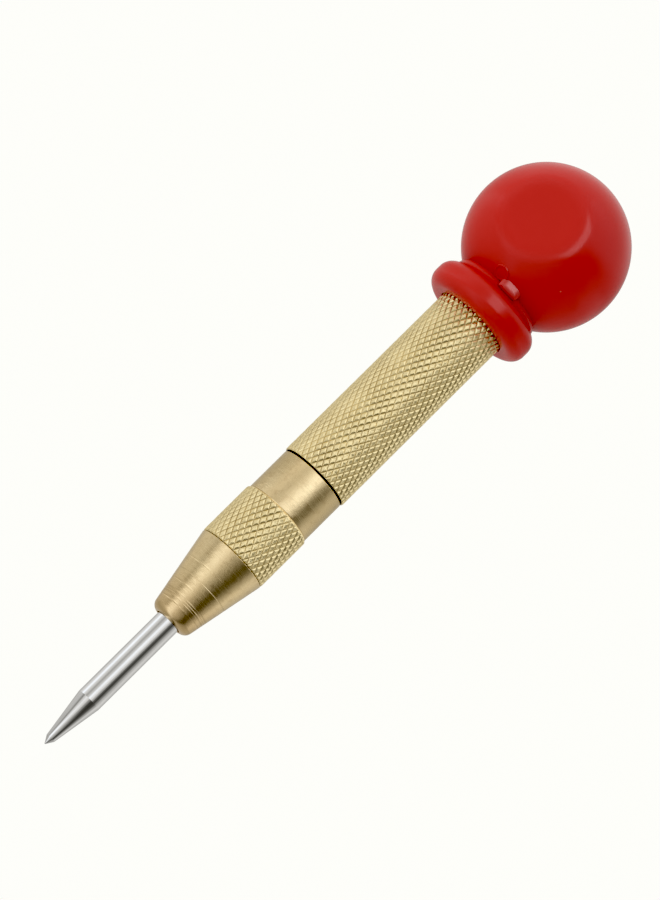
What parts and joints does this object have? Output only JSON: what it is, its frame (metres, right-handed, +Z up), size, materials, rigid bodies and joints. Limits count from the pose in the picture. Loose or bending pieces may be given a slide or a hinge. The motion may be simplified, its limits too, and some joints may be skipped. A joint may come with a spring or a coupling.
{
  "type": "automatic center punch",
  "caption": "Automatic center punch: knurled brass body, steel point that strikes itself when pushed in, and a plastic ball cap for the palm that sets the blow.",
  "frame": {"origin": "the tip of the point, on the tool's axis, with the point fully out", "axes": "+Z up the tool's axis from the point to the ball cap; -Y is the outward normal of the ball's front side flat"},
  "size_m": [0.028, 0.0242, 0.13],
  "materials": {
    "polished_steel": "polished bare tool steel",
    "spring_steel": "drawn spring wire",
    "dark_steel": "hardened, blued grey",
    "brass": "turned and knurled, bare",
    "red_plastic": "glossy moulding"
  },
  "bodies": {
    "body": {"nose_piece": "brass", "barrel": "brass", "return_spring": "spring_steel"},
    "punch": {"punch_point": "polished_steel"},
    "drift": {"drift_pin": "polished_steel"},
    "striker": {"hammer": "dark_steel"},
    "preload": {"main_spring": "spring_steel"},
    "adjuster": {"adjusting_cap": "brass", "ball_cap": "red_plastic"}
  },
  "joints": [
    {"name": "punch_press", "type": "slide", "parent": "body", "child": "punch", "axis": [0, 0, 1], "range_m": [0, 0.011], "deforming": ["return_spring"]},
    {"name": "hammer_lift", "type": "slide", "parent": "body", "child": "striker", "axis": [0, 0, 1], "range_m": [0, 0.011], "deforming": ["main_spring"]},
    {"name": "pin_tilt", "type": "hinge", "parent": "punch", "child": "drift", "pos_m": [0, 0, 0.0426], "axis": [0, 1, 0], "range_deg": [0, 2]},
    {"name": "preload_advance", "type": "slide", "parent": "body", "child": "preload", "axis": [0, 0, 1], "range_m": [-0.0025, 0.0015]},
    {"name": "adjust_turn", "type": "hinge", "parent": "preload", "child": "adjuster", "pos_m": [0, 0, 0.11], "axis": [0, 0, 1], "range_deg": [-901, 541]}
  ],
  "couplings": [
    {"joint": "pin_tilt", "follows": "hammer_lift", "rad_per_m": 3.17},
    {"joint": "adjust_turn", "follows": "preload_advance", "rad_per_m": 6283.2}
  ]
}
